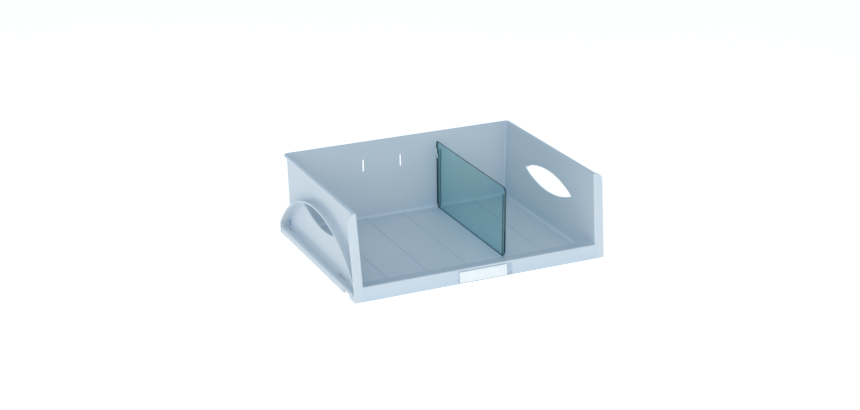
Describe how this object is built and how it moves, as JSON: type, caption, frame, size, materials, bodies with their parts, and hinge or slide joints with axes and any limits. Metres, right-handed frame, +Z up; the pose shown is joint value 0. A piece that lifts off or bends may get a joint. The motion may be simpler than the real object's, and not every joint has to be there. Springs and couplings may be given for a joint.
{
  "type": "letter tray",
  "caption": "Open-front desktop letter tray with arched side grips, a lift-out clear divider hooked in the back wall and a clear label channel on the lip.",
  "frame": {"origin": "middle of the footprint, on the table", "axes": "+Z up, the open front faces -Y, +X runs along the width to the right as seen from the front"},
  "size_m": [0.4054, 0.2999, 0.127],
  "materials": {
    "tray_plastic": "pale cool grey moulded polystyrene with a fine satin texture",
    "divider_plastic": "transparent smoked teal polystyrene, polished faces and darker edges",
    "clear_plastic": "clear extruded plastic, glossy",
    "card": "blank white paper card, matte"
  },
  "bodies": {
    "tray": {"tray_body": "tray_plastic", "label_holder": "clear_plastic"},
    "divider": {"divider": "divider_plastic"},
    "card": {"label_card": "card"}
  },
  "joints": [
    {"name": "divider_lift", "type": "slide", "parent": "tray", "child": "divider", "axis": [0, -0.5, 0.866], "range_m": [0, 0.155]},
    {"name": "card_slide", "type": "slide", "parent": "tray", "child": "card", "axis": [1, 0, 0], "range_m": [0, 0.09]}
  ]
}
